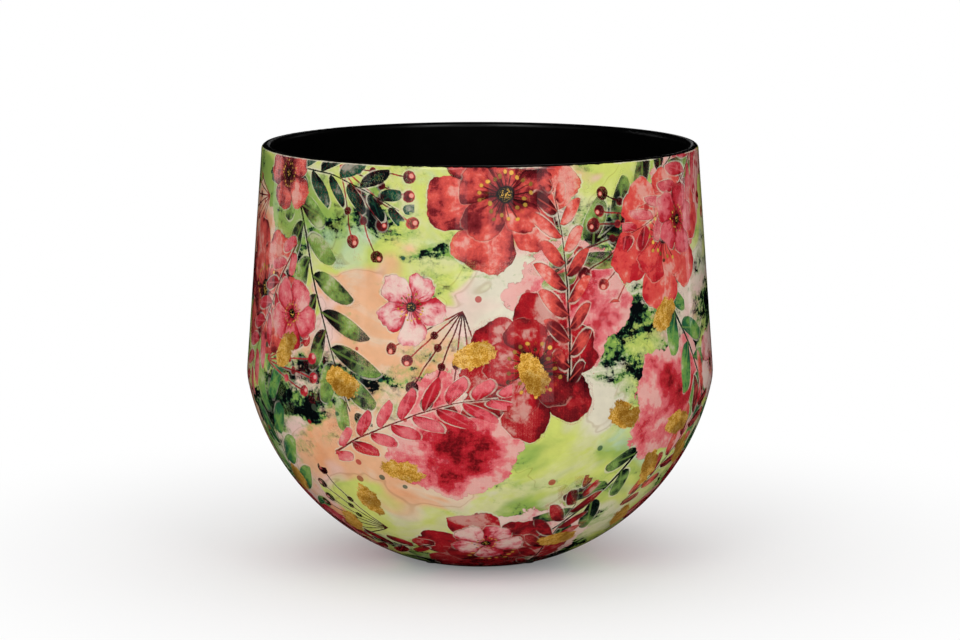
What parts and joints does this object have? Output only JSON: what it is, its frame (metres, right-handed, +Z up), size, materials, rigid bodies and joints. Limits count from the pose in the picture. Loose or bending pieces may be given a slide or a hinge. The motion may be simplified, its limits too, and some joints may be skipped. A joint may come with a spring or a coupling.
{
  "type": "cachepot",
  "caption": "Round glazed cachepot with a tapered upper wall, a ball-shaped bowl, a full-round lip and a flat foot, to hold a potted plant indoors.",
  "frame": {"origin": "on the pot's axis, in the plane that its pads stand on, which is the bottom centre of its box", "axes": "+Z up along the pot's axis of symmetry, out of the mouth; -Y faces the camera of the picture and +X is to its right"},
  "size_m": [0.33, 0.3298, 0.294],
  "materials": {
    "ceramic": "matt fired ceramic, hidden under the coats",
    "black_coat": "black satin coat",
    "printed_film": "watercolour flower print under high-gloss clear lacquer",
    "base_black": "black matt coat",
    "pad_felt": "dense dark grey felt"
  },
  "bodies": {
    "root": {"pot_body": "ceramic", "inner_coat": "black_coat", "printed_wrap": "printed_film", "base_coat": "base_black", "foot_pad_back_right": "pad_felt", "foot_pad_back_left": "pad_felt", "foot_pad_front_left": "pad_felt", "foot_pad_front_right": "pad_felt"}
  },
  "joints": []
}
